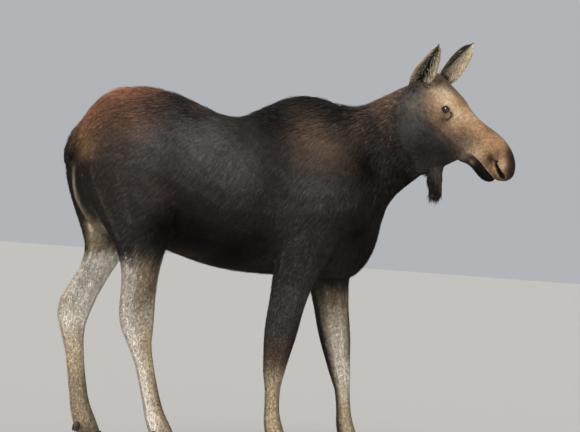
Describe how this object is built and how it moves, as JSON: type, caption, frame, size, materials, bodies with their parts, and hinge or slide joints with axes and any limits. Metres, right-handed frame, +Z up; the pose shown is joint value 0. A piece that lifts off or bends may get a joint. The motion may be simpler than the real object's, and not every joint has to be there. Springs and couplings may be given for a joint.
{
  "type": "moose",
  "caption": "Life-size cow moose standing still on long legs, with a shoulder hump, a long overhanging nose, upright ears and a short bell, her head turned to her right.",
  "frame": {"origin": "on the floor under the middle of the bounding box", "axes": "+X from the tail towards the chest, +Y to the animal's left, +Z up"},
  "size_m": [2.0788, 0.6348, 2.0391],
  "materials": {
    "dark_coat": "dense brown-black hair",
    "face_coat": "short brown hair",
    "pale_coat": "short grey-beige hair",
    "horn": "dark horn",
    "eye": "wet and glossy"
  },
  "bodies": {
    "root": {"bell": "dark_coat", "ear_left": "face_coat", "ear_right": "face_coat", "eye_left": "eye", "eye_right": "eye", "fore_left_cannon": "pale_coat", "fore_left_claw_left": "horn", "fore_left_claw_right": "horn", "fore_left_dewclaw_left": "horn", "fore_left_dewclaw_right": "horn", "fore_left_foot": "pale_coat", "fore_left_upper_leg": "dark_coat", "fore_right_cannon": "pale_coat", "fore_right_claw_left": "horn", "fore_right_claw_right": "horn", "fore_right_dewclaw_left": "horn", "fore_right_dewclaw_right": "horn", "fore_right_foot": "pale_coat", "fore_right_upper_leg": "dark_coat", "head": "face_coat", "hind_left_cannon": "pale_coat", "hind_left_claw_left": "horn", "hind_left_claw_right": "horn", "hind_left_dewclaw_left": "horn", "hind_left_dewclaw_right": "horn", "hind_left_foot": "pale_coat", "hind_left_upper_leg": "pale_coat", "hind_right_cannon": "pale_coat", "hind_right_claw_left": "horn", "hind_right_claw_right": "horn", "hind_right_dewclaw_left": "horn", "hind_right_dewclaw_right": "horn", "hind_right_foot": "pale_coat", "hind_right_upper_leg": "pale_coat", "lower_jaw": "dark_coat", "neck": "dark_coat", "tail": "dark_coat", "trunk": "dark_coat"}
  },
  "joints": []
}
